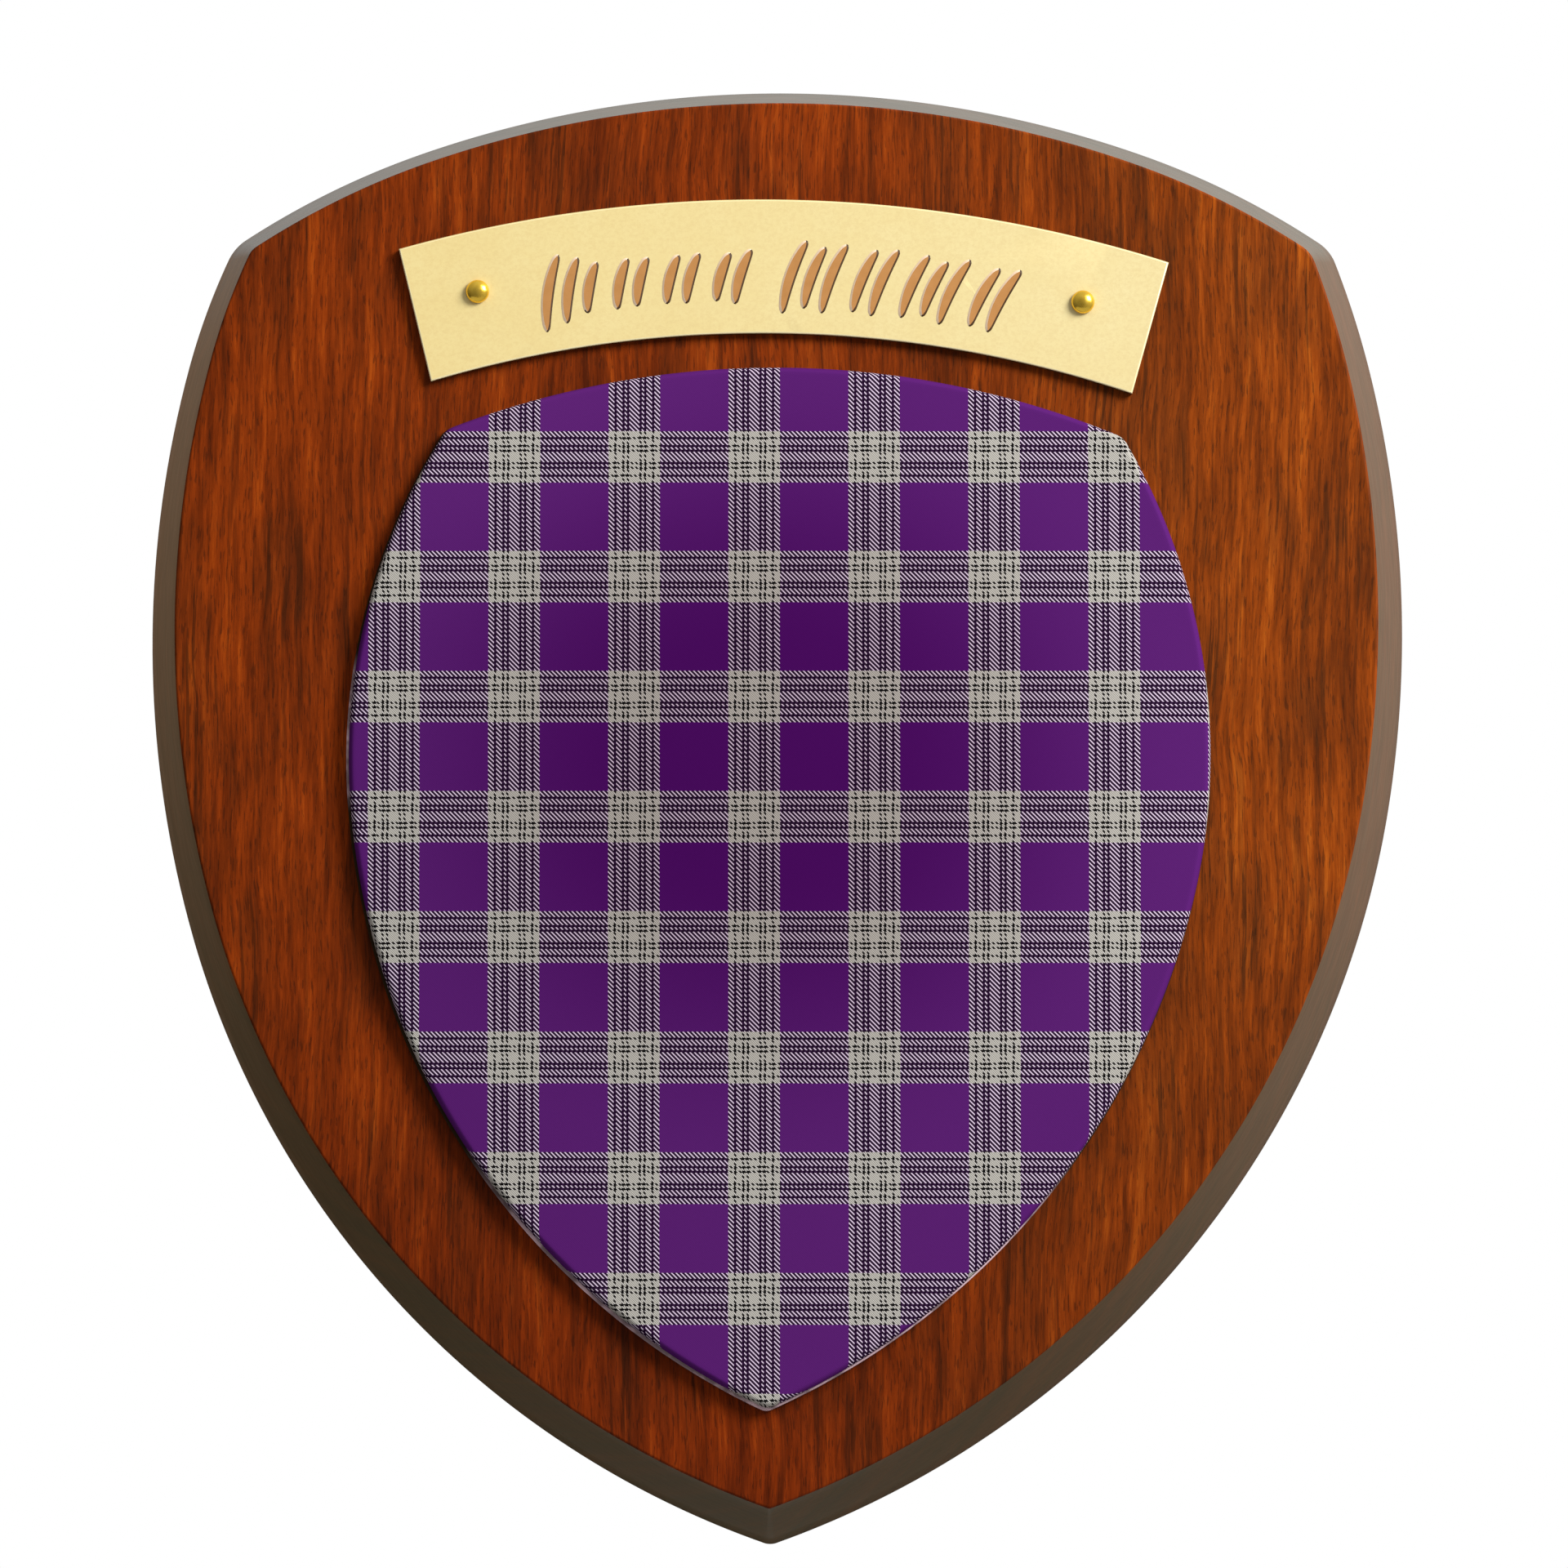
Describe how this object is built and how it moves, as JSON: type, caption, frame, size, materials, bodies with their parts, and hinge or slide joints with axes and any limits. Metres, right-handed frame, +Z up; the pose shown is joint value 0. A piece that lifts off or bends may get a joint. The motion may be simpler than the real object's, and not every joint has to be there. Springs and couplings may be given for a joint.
{
  "type": "tartan shield wall plaque",
  "caption": "shield-shaped wooden wall plaque with a bevelled edge, a domed tartan shield panel and an arched brass nameplate pinned above it",
  "frame": {"origin": "on the flat back face of the board, on the centre line, at half height", "axes": "+Z up, +Y into the wall, the plaque faces -Y, +X to the viewer's right"},
  "size_m": [0.1524, 0.0193, 0.1777],
  "materials": {
    "wood": "reddish brown mahogany, upright grain, satin lacquer",
    "card": "pale pinkish beige card edge, matt",
    "tartan": "purple, white and black tartan in twill weave",
    "plate_brass": "pale gold brass, fine satin",
    "pin_brass": "polished golden brass"
  },
  "bodies": {
    "root": {"shield_board": "wood", "panel_card": "card", "tartan_panel": "tartan", "nameplate": "plate_brass", "pin_left": "pin_brass", "pin_right": "pin_brass"}
  },
  "joints": []
}
